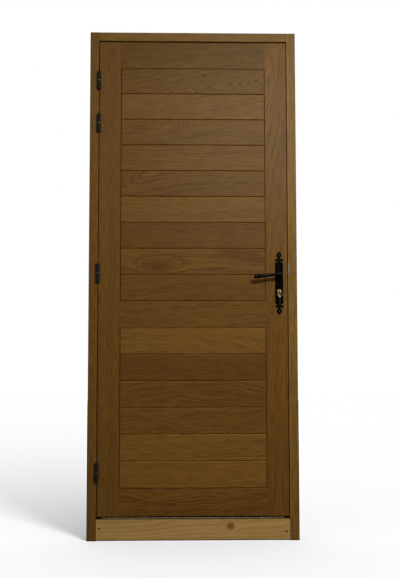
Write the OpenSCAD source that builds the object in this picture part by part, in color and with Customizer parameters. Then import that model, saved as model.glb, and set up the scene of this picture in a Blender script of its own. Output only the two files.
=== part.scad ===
// Slatted oak door leaf hung in its own rebated frame.
// X runs across the doorway with the hinges at -X, the leaf opens towards -Y, and Z is up.
// The origin lies at the feet of the frame, under the middle of the leaf's width and thickness.

/* [Leaf] */
// Width of the leaf
leaf_w = 798; // [650:1:950]
// Thickness of the leaf
leaf_t = 46; // [42:1:56]
// Width of each stile
stile_w = 91; // [85:0.5:130]
// Height of each rail
rail_h = 113.5; // [80:0.5:160]
// Cover height of one board
board_h = 111.1; // [80:0.1:140]
// Boards above the middle rail
upper_boards = 9; // [7:1:9]
// Boards below the middle rail
lower_boards = 6; // [4:1:6]
// Depth of the boards behind the faces of the stiles and rails
board_setback = 2.5; // [0.5:0.25:5]
// Bevel along the edges of each board
board_bevel = 2.5; // [1:0.25:4]
// Open gap between the faces of two boards
board_gap = 1; // [0.4:0.1:2]
// Width of the brush strip in the bottom edge
brush_t = 6; // [4:0.5:8]
// Depth of the brush strip's groove
brush_groove = 8; // [5:0.5:12]
// Length of bristle below the leaf
brush_drop = 8.5; // [2:0.5:11]
// Distance of the brush strip's ends from the edges of the leaf
brush_inset = 3; // [1:0.5:10]

/* [Joinery] */
// Thickness of the tongues
tongue_t = 12; // [8:0.5:16]
// Length of the tongues
tongue_l = 10; // [6:0.5:13]
// Thickness of the rail tenons
tenon_t = 14; // [10:0.5:18]
// Length of the rail tenons
tenon_l = 24; // [15:0.5:26]
// Height of rail left above and below a tenon
tenon_shoulder = 15; // [14:0.5:25]
// Clearance at the sides of a tongue or tenon
joint_play = 0.2; // [0.1:0.05:0.4]
// Clearance at the end of a tongue or tenon
end_play = 0.5; // [0.3:0.1:1]

/* [Frame] */
// Face width of the jambs and the head beside the leaf
frame_face = 37.5; // [34:0.5:70]
// Width of the stop that the leaf closes on
stop_w = 19; // [15:0.5:21]
// Depth of the stop
stop_d = 18; // [15:0.5:40]
// Gap between the back of the leaf and the stop
seal_gap = 4; // [3:0.25:6]
// Gap between the leaf and each jamb
side_gap = 3.5; // [2.5:0.25:5]
// Gap between the leaf and the head
head_gap = 6.5; // [3:0.25:8]
// Gap between the leaf and the batten
foot_gap = 13.5; // [12:0.5:20]
// Thickness of the head's tenons
head_tenon_t = 20; // [12:0.5:30]
// Length of the head's tenons
head_tenon_l = 24; // [15:0.5:28]
// Height of head left above and below its tenons
head_shoulder = 8; // [5:0.5:12]
// Width of the rebate seal
seal_w = 9; // [6:0.5:10]
// Thickness of the rebate seal's foot
seal_foot = 1.4; // [1:0.1:2]
// Clearance between the rebate seal and the leaf
seal_play = 0.4; // [0.3:0.05:0.8]

/* [Batten] */
// Height of the batten across the foot
batten_h = 82; // [60:0.5:120]
// Thickness of the batten
batten_t = 50; // [24:0.5:50]
// Height of the batten above the feet of the jambs
batten_lift = 3.5; // [0:0.25:8]
// Clearance at each end of the batten
batten_play = 0.5; // [0.3:0.1:2]
// Wood left under the heads of the sunk screws
batten_hold = 18; // [12:0.5:19]
// Distance of the left and right screw from the jambs
batten_screw_in = [14, 15.5]; // [8:0.5:40]
// Height of the left and right screw above the batten's lower edge
batten_screw_up = [45, 32]; // [15:0.5:60]

/* [Hinges] */
// Radius of the hinge barrel
barrel_r = 8; // [7:0.25:10]
// Length of the hinge barrel
barrel_l = 84; // [70:1:110]
// Height of the barrel's domed ends
dome_h = 5; // [3:0.25:6.5]
// Gap between the barrel and the face of the leaf
barrel_gap = 0.5; // [0.4:0.1:2]
// Thickness of the brass ring between the knuckles
hinge_ring_t = 3; // [2:0.25:5]
// Lip of the brass ring past the barrel
hinge_ring_lip = 0.35; // [0.1:0.05:0.45]
// Running gap over the brass ring
hinge_ring_play = 0.1; // [0.05:0.01:0.3]
// Radius of the hinge pin
pin_r = 4.5; // [3.5:0.1:5.5]
// Length of the hinge pin
pin_l = 60; // [45:1:64]
// Radial clearance of the pin in the leaf's knuckle
pin_play = 0.05; // [0.02:0.01:0.1]
// Radial clearance of the pin in the frame's knuckle
pin_seat = 0.02; // [0.01:0.01:0.05]
// Thickness of the hinge wings
wing_t = 2.5; // [2:0.25:3]
// Depth of the hinge wings in the timber
wing_d = 30; // [24:0.5:36]
// Height of the hinge wings
wing_h = 76; // [66:1:84]
// Spacing of the screws in a wing
wing_screw_pitch = 26; // [20:0.5:28]
// Shift of the middle screw across the wing
wing_screw_shift = 6; // [3:0.5:8]
// Drop of the two upper hinges below the top of the leaf
upper_hinge_drop = [169.5, 354.5]; // [60:0.5:500]
// Rise of the two lower hinges above the bottom of the leaf
lower_hinge_rise = [1009.5, 179.6]; // [60:0.1:1200]
// Extra length of the second hinge's seat in the leaf
long_seat = 14; // [0:1:20]

/* [Lock] */
// Distance of the lever and cylinder axes from the edge of the leaf
backset = 35; // [33:0.5:37]
// Height of the lever axis above the bottom of the leaf
lever_rise = 1003.5; // [950:0.5:1100]
// Distance of the cylinder axis below the lever axis
cylinder_drop = 70; // [68:0.5:80]
// Height of the lock case above the lever axis
case_above = 62; // [50:0.5:75]
// Height of the lock case below the cylinder axis
case_below = 37.5; // [34:0.5:50]
// Depth of the lock case behind the axes
case_back = 26; // [25:0.5:28]
// Thickness of the lock case
case_t = 16; // [15.5:0.25:18]
// Wall of the lock case
case_wall = 1.5; // [1:0.1:1.7]
// Clearance of the lock case in its mortise
case_play = 0.5; // [0.2:0.1:1]
// Width of the forend
forend_w = 20; // [18:0.5:24]
// Length of the forend past each end of the lock case
forend_past = 32.75; // [22:0.25:45]
// Thickness of the forend
forend_t = 3; // [2:0.25:4]
// Clearance of the bolts in the forend
bolt_play = 0.4; // [0.35:0.05:1]
// Thickness of the latch bolt
latch_t = 12; // [10:0.25:12.25]
// Height of the latch bolt
latch_h = 32; // [26:0.5:34]
// Height of the latch bolt's middle above the lever axis
latch_rise = 21; // [20:0.5:26]
// Reach of the latch bolt past the forend
latch_out = 11; // [8:0.5:11.5]
// Length of the latch bolt's head inside the case
latch_head = 8; // [6:0.5:9]
// Thickness of the latch bolt's nose
latch_nose = 3; // [2:0.25:5]
// Height of the latch bolt's tail
latch_tail_h = 12; // [8:0.5:14]
// Gap between the follower and the latch bolt's tail
latch_tail_gap = 2; // [1:0.25:3]
// Thickness of the deadbolt
deadbolt_t = 12; // [10:0.25:12.25]
// Height of the deadbolt
deadbolt_h = 31; // [24:0.5:32]
// Height of the deadbolt's middle above the cylinder axis
deadbolt_rise = 35; // [34:0.5:38]
// Throw of the deadbolt
deadbolt_throw = 20; // [14:0.5:22]
// Length of the deadbolt behind the axes
deadbolt_tail = 8; // [4:0.5:12]
// Radius of the follower
follower_r = 12; // [11:0.25:12.5]
// Radius of the follower's journals
journal_r = 10; // [8:0.25:10]
// Radial clearance of the journals
journal_play = 0.06; // [0.03:0.01:0.1]
// Distance of the follower's finger from its axis
finger_reach = 16; // [15.5:0.25:17]
// Radius of the finger's tip
finger_r = 3; // [2:0.25:3.5]
// Thickness of the finger
finger_t = 4; // [3:0.25:5]
// Slack between the finger and the latch bolt
finger_slack = 0.6; // [0.5:0.05:1]
// Length of the latch bolt's slot in front of the finger
finger_room = 12; // [10:0.5:14]
// Depth of the follower's ends below the faces of the case
follower_inset = 0.1; // [0.05:0.05:0.4]
// Side of the square spindle
spindle_s = 7; // [6:0.5:8]
// Clearance of the spindle in its sockets
spindle_play = 0.1; // [0.05:0.05:0.2]
// Reach of the spindle past each face of the leaf
spindle_out = 38; // [25:0.5:42]

/* [Strike] */
// Height of the strike plate
strike_h = 200; // [180:1:235]
// Width of the strike plate
strike_w = 22; // [18:0.5:28]
// Thickness of the strike plate
strike_t = 2; // [1.5:0.25:3]
// Height of the strike plate's lip
strike_lip_h = 42; // [36:0.5:60]
// Width of the lip on the front of the jamb
strike_lip_w = 5; // [3:0.25:8]
// Distance of the strike screws from the plate's ends
strike_screw_in = 11; // [8:0.5:16]
// Clearance of the bolts in the strike plate
strike_play = 1; // [0.5:0.1:2]
// Clearance of the bolts at the bottom of their pockets
pocket_play = 4; // [2:0.5:8]

/* [Cylinder] */
// Length of the profile cylinder
cylinder_l = 60; // [56:1:80]
// Radius of the profile cylinder's round part
cylinder_r = 8.5; // [8.5:0.1:9]
// Width of the profile cylinder's web
web_w = 10; // [9:0.25:11]
// Height of the profile cylinder
cylinder_h = 33; // [32:0.5:35]
// Clearance round the profile cylinder
cylinder_play = 0.4; // [0.2:0.1:0.8]
// Radius of the plugs
plug_r = 6.2; // [5.5:0.1:6.5]
// Radial clearance of the plugs
plug_play = 0.08; // [0.03:0.01:0.1]
// Width of the cam
cam_w = 10; // [8:0.25:11]
// Reach of the cam's nose
cam_r = 15; // [12:0.25:15.25]
// Radius of the cam's hub
cam_hub_r = 8; // [7:0.25:8.5]
// Width of the cam's nose
cam_nose_w = 6; // [4:0.5:8]
// Clearance round the cam
cam_play = 0.35; // [0.3:0.05:0.6]
// Distance of the cylinder's fixing screw below the cylinder axis
cylinder_screw_drop = 20; // [19.5:0.25:21]

/* [Lever set] */
// Width of the plates
plate_w = 34; // [30:0.5:36]
// Height of the plates' straight part
plate_h = 172; // [150:1:190]
// Thickness of the plates
plate_t = 3; // [2:0.25:3.5]
// Rise of the plate's shoulder
shoulder_h = 5; // [3:0.5:8]
// Width of the finial's stem
stem_w = 9.5; // [5:0.5:10]
// Distance of the finial's lobes past the straight part
lobe_rise = 12.5; // [11:0.5:16]
// Distance of each lobe from the middle
lobe_out = 11; // [9:0.5:13]
// Radius of the lobes
lobe_r = 6; // [4:0.1:7]
// Width of the bar between the lobes
lobe_bar = 8; // [4:0.5:10]
// Distance of the finial's spear past the straight part
spear_rise = 32.5; // [28:0.5:40]
// Radius of the finial's spear
spear_r = 11; // [8:0.25:13]
// Length from the middle of the spear to its point
spear_point = 17; // [14:0.5:20]
// Width of the spear's point at its root
spear_point_w = 14; // [10:0.5:16]
// Radius of the lever's neck
neck_r = 8; // [7:0.25:9]
// Clearance of the neck in the plate
neck_play = 0.08; // [0.03:0.01:0.1]
// Distance of the lever's middle from the face of the leaf
lever_out = 47; // [45:0.5:60]
// Thickness of the lever at its round end
lever_t = 10; // [8:0.25:11]
// Thickness of the lever at its waist
lever_waist_t = 8.6; // [7:0.1:9.5]
// Thickness of the lever at its elbow
elbow_t = 12; // [11.5:0.25:14]
// Radius of the lever's elbow
elbow_r = 9.5; // [8.5:0.25:10.5]
// Length from the lever axis to the middle of its round end
lever_l = 102; // [80:0.5:115]
// Radius of the lever's round end
lever_end_r = 9.2; // [7:0.1:10]
// Radius of the lever at its waist
lever_waist_r = 6.2; // [5:0.1:7]
// Distance of the waist from the lever axis
lever_waist = 22; // [16:0.5:30]
// Rounding of the lever's edges
lever_edge = 2.4; // [1:0.1:3]
// Slope of the lever below the level
lever_droop = 6; // [0:0.5:12]
// Distance of the lever's ornamental grooves from its round end
groove_in = [14, 18]; // [10:0.5:30]
// Width of the ornamental grooves
groove_w = 1.4; // [0.8:0.1:2]
// Depth of the ornamental grooves
groove_d = 0.9; // [0.4:0.1:1.5]

/* [Key] */
// Thickness of the keys
key_t = 2.4; // [2:0.1:3]
// Height of the key blade
blade_h = 8; // [6:0.25:9]
// Length of the key blade in the cylinder
blade_l = 23; // [18:0.5:24]
// Clearance of the key in the plug
key_play = 0.12; // [0.05:0.01:0.2]
// Gap between the bow and the cylinder
bow_gap = 2; // [1:0.25:4]
// Radius of the bow
bow_r = 11; // [9:0.25:12]
// Radius of the hole in a bow
bow_hole_r = 3.4; // [2.5:0.1:4]
// Rim of bow outside its hole
bow_rim = 3; // [2:0.1:4]
// Radius of the split ring at the middle of its wire
split_ring_r = 10.5; // [8:0.1:12]
// Radius of the split ring's wire
wire_r = 1; // [0.7:0.05:1.3]
// Clearance of the wire in a bow's hole
wire_play = 0.15; // [0.1:0.05:0.4]
// Radius of the spare key's bow
spare_bow_r = 8.5; // [7:0.25:10]
// Length of the spare key below its bow
spare_blade_l = 22; // [16:0.5:24]

/* [Screws] */
// Radius of a screw's head
head_r = 4; // [3.5:0.1:4.2]
// Radius of a screw's shank
shank_r = 2; // [1.5:0.1:2.2]
// Length of the wood screws
screw_l = 24; // [18:0.5:26]
// Length of the batten screws
batten_screw_l = 33; // [30:0.5:34]
// Height of a domed screw head
dome_head_h = 2.2; // [1.5:0.1:3]
// Length of the plate screws
plate_screw_l = 18; // [14:0.5:20]
// Width of a screw's slot
slot_w = 1; // [0.6:0.1:1.2]
// Depth of a screw's slot
slot_d = 0.9; // [0.5:0.1:1.2]
// Clearance of a screw in its hole
screw_play = 0.15; // [0.1:0.05:0.3]

/* [Hidden] */
$fn = 64;
oak = [0.46, 0.31, 0.16];
pine = [0.62, 0.47, 0.24];
iron = [0.06, 0.06, 0.06];
steel = [0.68, 0.68, 0.66];
brass = [0.72, 0.55, 0.22];
rubber = [0.08, 0.08, 0.08];

// Length by which a cut runs past the face that it starts from
over = 1;

// Places along Z, from the feet of the jambs up
batten_top = batten_lift + batten_h;
leaf_z = batten_top + foot_gap;
board_count = upper_boards + lower_boards;
leaf_h = 3 * rail_h + board_count * board_h;
leaf_top = leaf_z + leaf_h;
lower_panel_z = leaf_z + rail_h;
mid_rail_z = lower_panel_z + lower_boards * board_h;
upper_panel_z = mid_rail_z + rail_h;
top_rail_z = upper_panel_z + upper_boards * board_h;
rail_z = [leaf_z, mid_rail_z, top_rail_z];
frame_h = leaf_top + head_gap + frame_face;
head_z = frame_h - frame_face;

// Places along X, the same on both sides of the middle
leaf_x = leaf_w / 2;
panel_x = leaf_x - stile_w;
rebate_x = leaf_x + side_gap;
stop_x = rebate_x - stop_w;
frame_x = rebate_x + frame_face;

// Places along Y, from the front face back
front_y = -leaf_t / 2;
stop_y = leaf_t / 2 + seal_gap;
back_y = stop_y + stop_d;
board_t = leaf_t - 2 * board_setback;
batten_y = stop_y - batten_t;
batten_sink = batten_t - batten_hold;

// Hinge axis and the heights of the hinges, from the top down
hinge_x = -leaf_x - side_gap / 2;
wing_y = barrel_r + barrel_gap;
hinge_y = front_y - wing_y;
knuckle_l = (barrel_l - hinge_ring_t) / 2 - hinge_ring_play;
hinge_z = concat(
    [for (drop = upper_hinge_drop) leaf_top - drop],
    [for (rise = lower_hinge_rise) leaf_z + rise]
);
hinge_seat_extra = [0, long_seat, 0, 0];

// Lock places
lock_x = leaf_x - backset;
lever_z = leaf_z + lever_rise;
cylinder_z = lever_z - cylinder_drop;
case_x = lock_x - case_back;
case_z = cylinder_z - case_below;
case_h = case_above + cylinder_drop + case_below;
forend_x = leaf_x - forend_t;
forend_h = case_h + 2 * forend_past;
forend_z = case_z - forend_past;
latch_z = lever_z + latch_rise;
deadbolt_z = cylinder_z + deadbolt_rise;
strike_z = forend_z + (forend_h - strike_h) / 2;
journal_l = case_t - 2 * follower_inset;
hub_l = case_t - 2 * case_wall - 2 * bolt_play;
tail_z = lever_z + follower_r + latch_tail_gap;
web_r = web_w / 2;
web_z = -(cylinder_h - cylinder_r - web_r);

// Lever set and key places
plate_z = lever_z - cylinder_drop / 2;
plate_end = plate_h / 2;
plate_screw_z = plate_end + spear_rise;
key_y = -cylinder_l / 2;
bow_y = key_y - bow_gap - bow_r;
bow_hole_y = bow_y - bow_r + bow_rim + bow_hole_r;
hang = bow_hole_r - wire_r - wire_play;
split_ring_z = cylinder_z - hang - split_ring_r;
spare_hole_z = split_ring_z - split_ring_r - hang;
spare_bow_z = spare_hole_z - spare_bow_r + bow_rim + bow_hole_r;

board_nodes = concat(
    [for (i = [1 : upper_boards]) str("upper_board_", i)],
    [for (i = [1 : lower_boards]) str("lower_board_", i)]
);
hinge_nodes = [
    for (i = [1 : len(hinge_z)], half = ["frame", "leaf"])
        str("hinge_", i, "_", half, "_half")
];

// A flat shape in Y and Z, drawn out along X about the middle
module along_x(length) {
    rotate([90, 0, 90])
        translate([0, 0, -length / 2])
            linear_extrude(length)
                children();
}

// A flat shape in X and Z, drawn out along Y about the middle
module along_y(length) {
    rotate([90, 0, 0])
        translate([0, 0, -length / 2])
            linear_extrude(length)
                children();
}

// A box given by its lowest and highest corners
module box(low, high) {
    translate(low)
        cube(high - low);
}

// A round bar along Y, about the middle
module rod_y(r, length) {
    rotate([90, 0, 0])
        cylinder(h = length, r = r, center = true);
}

// Wood screw with a flush head at the origin, driven along +Z
module flush_screw(length) {
    sink = head_r - shank_r;
    difference() {
        union() {
            cylinder(h = sink, r1 = head_r, r2 = shank_r);
            cylinder(h = length - shank_r * 2, r = shank_r);
            translate([0, 0, length - shank_r * 2])
                cylinder(h = shank_r * 2, r1 = shank_r, r2 = 0);
        }
        translate([-head_r, -slot_w / 2, -over])
            cube([2 * head_r, slot_w, over + slot_d]);
    }
}

// Hole that a flush screw sits in, opened towards -Z
module flush_hole(length) {
    sink = head_r - shank_r;
    cylinder(h = sink, r1 = head_r + screw_play, r2 = shank_r + screw_play);
    translate([0, 0, -over])
        cylinder(h = over + length + screw_play, r = shank_r + screw_play);
    translate([0, 0, -over])
        cylinder(h = over, r = head_r + screw_play);
}

// Screw with a slotted domed head that stands on the plane of the origin, driven along +Z
module domed_screw(length) {
    ball_r = (head_r * head_r + dome_head_h * dome_head_h) / (2 * dome_head_h);
    difference() {
        union() {
            intersection() {
                translate([0, 0, ball_r - dome_head_h])
                    sphere(ball_r);
                translate([0, 0, -dome_head_h])
                    cylinder(h = dome_head_h, r = head_r);
            }
            cylinder(h = length - shank_r * 2, r = shank_r);
            translate([0, 0, length - shank_r * 2])
                cylinder(h = shank_r * 2, r1 = shank_r, r2 = 0);
        }
        translate([-head_r, -slot_w / 2, -dome_head_h - over])
            cube([2 * head_r, slot_w, over + slot_d]);
    }
}

// Boards: tongue on the upper edge and both ends, groove in the lower edge, bevels on both faces
function bevelled(w, h, c) = [
    [-w / 2 + c, 0], [w / 2 - c, 0], [w / 2, c], [w / 2, h - c],
    [w / 2 - c, h], [-w / 2 + c, h], [-w / 2, h - c], [-w / 2, c]
];

module edge_tongue(height) {
    root = board_gap + over;
    translate([-tongue_t / 2, height - root])
        square([tongue_t, tongue_l + root]);
}

module edge_groove() {
    translate([-tongue_t / 2 - joint_play, -over])
        square([tongue_t + 2 * joint_play, tongue_l + end_play + over]);
}

module board_section() {
    difference() {
        union() {
            translate([0, board_gap / 2])
                polygon(bevelled(board_t, board_h - board_gap, board_bevel));
            edge_tongue(board_h);
        }
        edge_groove();
    }
}

module board_plan() {
    face_x = panel_x - board_gap;
    rotate(90)
        translate([0, -face_x])
            polygon(bevelled(board_t, 2 * face_x, board_bevel));
    translate([-panel_x - tongue_l, -tongue_t / 2])
        square([2 * (panel_x + tongue_l), tongue_t]);
}

module board(z) {
    color(oak)
        translate([0, 0, z])
            intersection() {
                along_x(2 * (panel_x + tongue_l)) board_section();
                linear_extrude(board_h + tongue_l) board_plan();
            }
}

module upper_board(i) {
    board(top_rail_z - i * board_h);
}

module lower_board(i) {
    board(mid_rail_z - i * board_h);
}

// Rails: full thickness between the stiles with a tenon at each end,
// a tongue above and a groove below where a board meets them
module rail(z, has_tongue, has_groove) {
    translate([0, 0, z]) {
        along_x(2 * panel_x)
            difference() {
                union() {
                    translate([-leaf_t / 2, 0])
                        square([leaf_t, rail_h]);
                    if (has_tongue) edge_tongue(rail_h);
                }
                if (has_groove) edge_groove();
            }
        along_x(2 * (panel_x + tenon_l))
            translate([-tenon_t / 2, tenon_shoulder])
                square([tenon_t, rail_h - 2 * tenon_shoulder]);
    }
}

module bottom_rail() {
    color(oak)
        difference() {
            rail(leaf_z, true, false);
            brush_groove_cut();
        }
}

module mid_rail() {
    color(oak)
        rail(mid_rail_z, true, true);
}

module top_rail() {
    color(oak)
        rail(top_rail_z, false, true);
}

// Stiles: the full height of the leaf, grooved for the boards and mortised for the rails,
// drawn on the hinge side
module stile_blank() {
    groove_half = tongue_t / 2 + joint_play;
    groove_x = -panel_x - tongue_l - end_play;
    mortise_half = tenon_t / 2 + joint_play;
    mortise_x = -panel_x - tenon_l - end_play;
    difference() {
        box([-leaf_x, front_y, leaf_z], [-panel_x, -front_y, leaf_top]);
        for (panel = [[lower_panel_z, mid_rail_z], [upper_panel_z, top_rail_z]])
            box(
                [groove_x, -groove_half, panel[0]],
                [-panel_x + over, groove_half, panel[1] + tongue_l + end_play]
            );
        for (z = rail_z)
            box(
                [mortise_x, -mortise_half, z + tenon_shoulder - joint_play],
                [-panel_x + over, mortise_half, z + rail_h - tenon_shoulder + joint_play]
            );
        brush_groove_cut();
    }
}

module hinge_stile() {
    color(oak)
        difference() {
            stile_blank();
            for (i = [0 : len(hinge_z) - 1])
                translate([hinge_x, hinge_y, hinge_z[i]])
                    hinge_seat(hinge_seat_extra[i]);
        }
}

module lock_stile() {
    color(oak)
        difference() {
            mirror([1, 0, 0]) stile_blank();
            box(
                [case_x - case_play, -case_t / 2 - case_play, case_z - case_play],
                [leaf_x + over, case_t / 2 + case_play, case_z + case_h + case_play]
            );
            box(
                [forend_x, -forend_w / 2 - joint_play, forend_z - joint_play],
                [leaf_x + over, forend_w / 2 + joint_play, forend_z + forend_h + joint_play]
            );
            forend_screw_places() flush_hole(screw_l);
            translate([lock_x, 0, lever_z])
                rod_y(journal_r + case_play, leaf_t + 2 * over);
            translate([lock_x, 0, cylinder_z])
                along_y(leaf_t + 2 * over) euro_profile(cylinder_play + joint_play);
            plate_screw_places()
                cylinder(h = plate_screw_l + plate_t, r = shank_r + screw_play);
        }
}

// Brush strip: a carrier pressed into the leaf's bottom edge with its bristles below
module brush_groove_cut() {
    box(
        [-leaf_x - over, -brush_t / 2 - joint_play, leaf_z - over],
        [leaf_x + over, brush_t / 2 + joint_play, leaf_z + brush_groove]
    );
}

module bottom_brush() {
    end_x = leaf_x - brush_inset;
    color(rubber)
        box([-end_x, -brush_t / 2, leaf_z - brush_drop], [end_x, brush_t / 2, leaf_z + brush_groove]);
}

// Frame: rebated jambs the full height, the head tenoned between them
module jamb_plan() {
    polygon([
        [-frame_x, front_y], [-rebate_x, front_y], [-rebate_x, stop_y],
        [-stop_x, stop_y], [-stop_x, back_y], [-frame_x, back_y]
    ]);
}

module jamb_blank() {
    mortise_x = -rebate_x - head_tenon_l - end_play;
    mortise_half = head_tenon_t / 2 + joint_play;
    mortise_in = head_shoulder - joint_play;
    difference() {
        linear_extrude(frame_h) jamb_plan();
        box(
            [mortise_x, -mortise_half, head_z + mortise_in],
            [-rebate_x + over, mortise_half, frame_h - mortise_in]
        );
    }
}

module hinge_jamb() {
    color(oak)
        difference() {
            jamb_blank();
            for (z = hinge_z)
                translate([hinge_x, hinge_y, z])
                    rotate([0, 180, 0])
                        hinge_seat(0);
            batten_screw_places() batten_screw_hole();
        }
}

module strike_jamb() {
    color(oak)
        difference() {
            mirror([1, 0, 0]) jamb_blank();
            strike_blank(joint_play, over);
            strike_openings(strike_play, latch_out + pocket_play, deadbolt_throw + pocket_play);
            strike_screw_places() flush_hole(screw_l);
            batten_screw_places() batten_screw_hole();
        }
}

module frame_head() {
    color(oak) {
        along_x(2 * stop_x)
            polygon([
                [front_y, head_z], [stop_y, head_z], [stop_y, head_z - stop_w],
                [back_y, head_z - stop_w], [back_y, frame_h], [front_y, frame_h]
            ]);
        box([-rebate_x, front_y, head_z], [rebate_x, stop_y, frame_h]);
        box(
            [-rebate_x - head_tenon_l, -head_tenon_t / 2, head_z + head_shoulder],
            [rebate_x + head_tenon_l, head_tenon_t / 2, frame_h - head_shoulder]
        );
    }
}

// Rebate seal: a flat foot on the stop with a round bead that the leaf closes on
module seal_section() {
    bead = seal_gap - seal_play;
    square([seal_w, seal_foot]);
    intersection() {
        translate([seal_w / 2, 0])
            circle(bead);
        translate([seal_w / 2 - bead, 0])
            square([2 * bead, bead]);
    }
}

module frame_seal() {
    seal_in = (stop_w - seal_w) / 2;
    side_top = head_z - stop_w + seal_in + seal_w;
    color(rubber) {
        for (side = [0, 1])
            mirror([side, 0, 0])
                translate([-stop_x - seal_in, stop_y, batten_top])
                    rotate(180)
                        linear_extrude(side_top - batten_top) seal_section();
        along_x(2 * (stop_x + seal_in))
            translate([stop_y, head_z - stop_w + seal_in])
                rotate(90)
                    seal_section();
    }
}

// Batten across the foot of the frame, screwed to the stops through sunk holes
module batten_screw_places() {
    for (i = [0, 1]) {
        side = 2 * i - 1;
        screw_x = side * (rebate_x - batten_screw_in[i]);
        translate([screw_x, batten_y + batten_sink, batten_lift + batten_screw_up[i]])
            rotate([-90, 0, 0])
                children();
    }
}

module batten_screw_hole() {
    flush_hole(batten_screw_l);
    translate([0, 0, -batten_sink - over])
        cylinder(h = batten_sink + over, r = head_r + screw_play);
}

module foot_batten() {
    end_x = rebate_x - batten_play;
    color(pine)
        difference() {
            box([-end_x, batten_y, batten_lift], [end_x, stop_y, batten_top]);
            batten_screw_places() batten_screw_hole();
        }
}

module batten_screws() {
    color(steel)
        batten_screw_places() flush_screw(batten_screw_l);
}

// Lift-off hinges, drawn about the middle of the barrel on the hinge axis
module knuckle_profile() {
    ball_r = (barrel_r * barrel_r + dome_h * dome_h) / (2 * dome_h);
    square([barrel_r, knuckle_l - dome_h]);
    intersection() {
        translate([0, knuckle_l - ball_r])
            circle(ball_r);
        translate([0, knuckle_l - dome_h - over])
            square([barrel_r, dome_h + over]);
    }
}

module wing_screw_places() {
    for (i = [-1 : 1]) {
        shift = i == 0 ? wing_screw_shift : -wing_screw_shift;
        translate([side_gap / 2, wing_y + wing_d / 2 + shift, i * wing_screw_pitch])
            rotate([0, 90, 0])
                children();
    }
}

module hinge_half(bore_r, bore_l) {
    knuckle_z = hinge_ring_t / 2 + hinge_ring_play;
    wing_x = side_gap / 2;
    difference() {
        union() {
            translate([0, 0, knuckle_z])
                rotate_extrude() knuckle_profile();
            box([wing_x, 0, knuckle_z], [wing_x + wing_t, wing_y + over, wing_h / 2]);
            box([wing_x, wing_y, -wing_h / 2], [wing_x + wing_t, wing_y + wing_d, wing_h / 2]);
        }
        cylinder(h = bore_l, r = bore_r);
        wing_screw_places() flush_hole(screw_l);
    }
}

module hinge_seat(extra) {
    box(
        [side_gap / 2 - over, wing_y - over, -wing_h / 2 - joint_play],
        [side_gap / 2 + wing_t, wing_y + wing_d + joint_play, wing_h / 2 + joint_play + extra]
    );
    wing_screw_places() flush_hole(screw_l);
}

module hinge_leaf_half(i) {
    color(iron)
        translate([hinge_x, hinge_y, hinge_z[i - 1]])
            hinge_half(pin_r + pin_play, pin_l / 2 + over);
}

module hinge_frame_half(i) {
    color(iron)
        translate([hinge_x, hinge_y, hinge_z[i - 1]])
            rotate([0, 180, 0])
                hinge_half(pin_r + pin_seat, pin_l / 2);
}

module hinge_pins() {
    color(steel)
        for (z = hinge_z)
            translate([hinge_x, hinge_y, z])
                cylinder(h = pin_l, r = pin_r, center = true);
}

module hinge_rings() {
    color(brass)
        for (z = hinge_z)
            translate([hinge_x, hinge_y, z - hinge_ring_t / 2 - hinge_ring_play])
                difference() {
                    cylinder(h = hinge_ring_t + hinge_ring_play, r = barrel_r + hinge_ring_lip);
                    translate([0, 0, -over])
                        cylinder(h = hinge_ring_t + hinge_ring_play + 2 * over, r = pin_r + pin_play);
                }
}

module hinge_leaf_screws() {
    color(steel)
        for (z = hinge_z)
            translate([hinge_x, hinge_y, z])
                wing_screw_places() flush_screw(screw_l);
}

module hinge_frame_screws() {
    color(steel)
        for (z = hinge_z)
            translate([hinge_x, hinge_y, z])
                rotate([0, 180, 0])
                    wing_screw_places() flush_screw(screw_l);
}

// Strike plate, let into the rebate of the strike jamb, with a lip round to the front of the jamb
module strike_blank(play, past) {
    lip_z = latch_z - strike_lip_h / 2 - play;
    lip_top = latch_z + strike_lip_h / 2 + play;
    plate_y = strike_w / 2 + play;
    low_x = rebate_x - past;
    high_x = rebate_x + strike_t;
    lip_x = rebate_x + strike_lip_w + play;
    box([low_x, -plate_y, strike_z - play], [high_x, plate_y, strike_z + strike_h + play]);
    box([low_x, front_y - past, lip_z], [high_x, 0, lip_top]);
    box([low_x, front_y - past, lip_z], [lip_x, front_y + strike_t, lip_top]);
}

module strike_openings(play, latch_depth, deadbolt_depth) {
    box(
        [rebate_x - over, -latch_t / 2 - play, latch_z - latch_h / 2 - play],
        [leaf_x + latch_depth, latch_t / 2 + play, latch_z + latch_h / 2 + play]
    );
    box(
        [rebate_x - over, -deadbolt_t / 2 - play, deadbolt_z - deadbolt_h / 2 - play],
        [leaf_x + deadbolt_depth, deadbolt_t / 2 + play, deadbolt_z + deadbolt_h / 2 + play]
    );
}

module strike_screw_places() {
    for (z = [strike_z + strike_screw_in, strike_z + strike_h - strike_screw_in])
        translate([rebate_x, 0, z])
            rotate([0, 90, 0])
                children();
}

module strike_plate() {
    through = side_gap + strike_t + over;
    color(steel)
        difference() {
            strike_blank(0, 0);
            strike_openings(strike_play, through, through);
            strike_screw_places() flush_hole(screw_l);
        }
}

module strike_screws() {
    color(steel)
        strike_screw_places() flush_screw(screw_l);
}

// Mortise lock: case, forend and bolts, let into the edge of the lock stile
module forend_screw_places() {
    for (z = [case_z - forend_past / 2, case_z + case_h + forend_past / 2])
        translate([leaf_x, 0, z])
            rotate([0, -90, 0])
                children();
}

module cylinder_screw_place() {
    translate([leaf_x, 0, cylinder_z - cylinder_screw_drop])
        rotate([0, -90, 0])
            children();
}

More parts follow.
